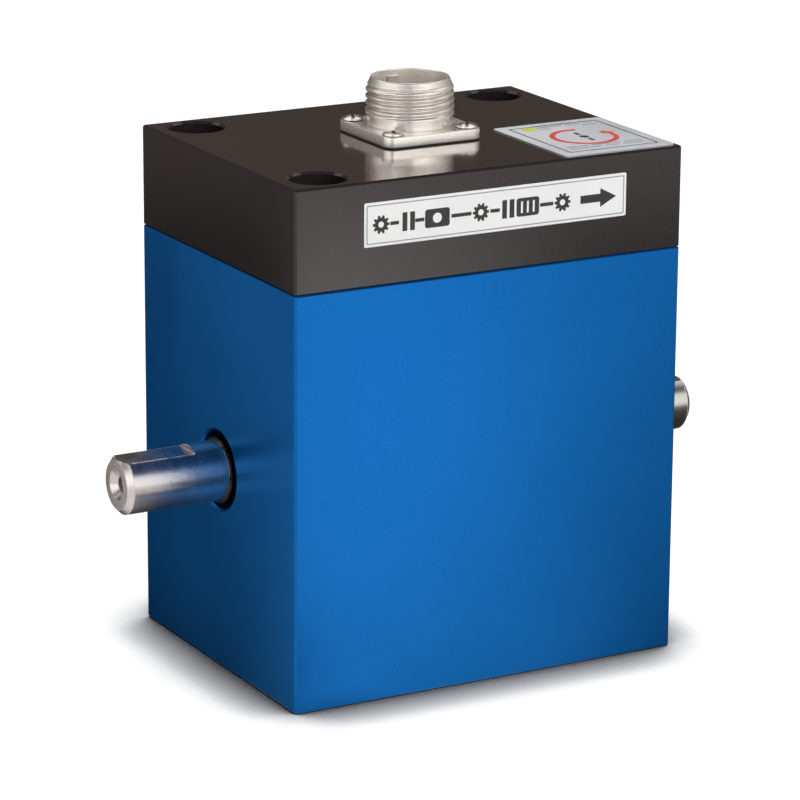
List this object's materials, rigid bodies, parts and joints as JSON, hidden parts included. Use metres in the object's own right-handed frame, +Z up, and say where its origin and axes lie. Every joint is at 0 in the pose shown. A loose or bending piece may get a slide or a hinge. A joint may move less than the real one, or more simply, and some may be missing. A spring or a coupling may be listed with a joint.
{
  "type": "torque sensor",
  "caption": "Rotary torque sensor: block housing and cover, a shaft through it on ball bearings with flatted ends, and a threaded round connector on top.",
  "frame": {"origin": "centre of the housing's flat base", "axes": "+X along the shaft towards the end that the front label's arrow points at, +Z up from the base towards the connector; the front label faces -Y"},
  "size_m": [0.118, 0.0602, 0.1053],
  "materials": {
    "blue_anodised": "satin",
    "black_anodised": "satin",
    "black_rubber": "matte",
    "black_steel": "satin",
    "label_white": "satin",
    "label_silver": "satin",
    "nickel": "polished",
    "black_plastic": "matte",
    "gold_contact": "polished",
    "screw_steel": "polished",
    "red_wire": "satin",
    "yellow_wire": "satin",
    "bare_aluminium": "satin",
    "bearing_steel": "polished",
    "cage_brass": "satin",
    "spring_steel": "satin",
    "shaft_steel": "polished",
    "gauge_film": "gloss",
    "copper": "satin",
    "green_board": "gloss"
  },
  "bodies": {
    "root": {"housing": "blue_anodised", "cover": "black_anodised", "cover_seal": "black_rubber", "cover_screws": "black_steel", "front_label": "label_white", "top_label": "label_silver", "connector_shell": "nickel", "connector_gasket": "black_rubber", "connector_insert": "black_plastic", "connector_pins": "gold_contact", "connector_screws": "screw_steel", "connector_leads": "red_wire", "bearing_carrier": "bare_aluminium", "carrier_screws": "black_steel", "left_outer_race": "bearing_steel", "right_outer_race": "bearing_steel", "bearing_clips": "spring_steel", "stator_bobbin": "black_plastic", "stator_winding": "copper", "stator_strap": "bare_aluminium", "strap_screws": "screw_steel", "circuit_board": "green_board", "board_standoffs": "cage_brass", "board_screws": "screw_steel", "board_chips": "black_plastic", "stator_leads": "yellow_wire"},
    "shaft": {"torque_shaft": "shaft_steel", "strain_gauges": "gauge_film", "gauge_leads": "red_wire", "rotor_bobbin": "black_plastic", "rotor_winding": "copper", "left_inner_race": "bearing_steel", "right_inner_race": "bearing_steel", "shaft_clips": "spring_steel"},
    "left_ball_set": {"left_balls": "bearing_steel", "left_cage": "cage_brass"},
    "right_ball_set": {"right_balls": "bearing_steel", "right_cage": "cage_brass"}
  },
  "joints": [
    {"name": "shaft_spin", "type": "hinge", "parent": "root", "child": "shaft", "pos_m": [0, 0, 0.037], "axis": [1, 0, 0], "continuous": true},
    {"name": "left_ball_set_spin", "type": "hinge", "parent": "root", "child": "left_ball_set", "pos_m": [0, 0, 0.037], "axis": [1, 0, 0], "continuous": true},
    {"name": "right_ball_set_spin", "type": "hinge", "parent": "root", "child": "right_ball_set", "pos_m": [0, 0, 0.037], "axis": [1, 0, 0], "continuous": true}
  ],
  "couplings": [
    {"joint": "left_ball_set_spin", "follows": "shaft_spin", "ratio": 0.42788},
    {"joint": "right_ball_set_spin", "follows": "shaft_spin", "ratio": 0.42788}
  ]
}
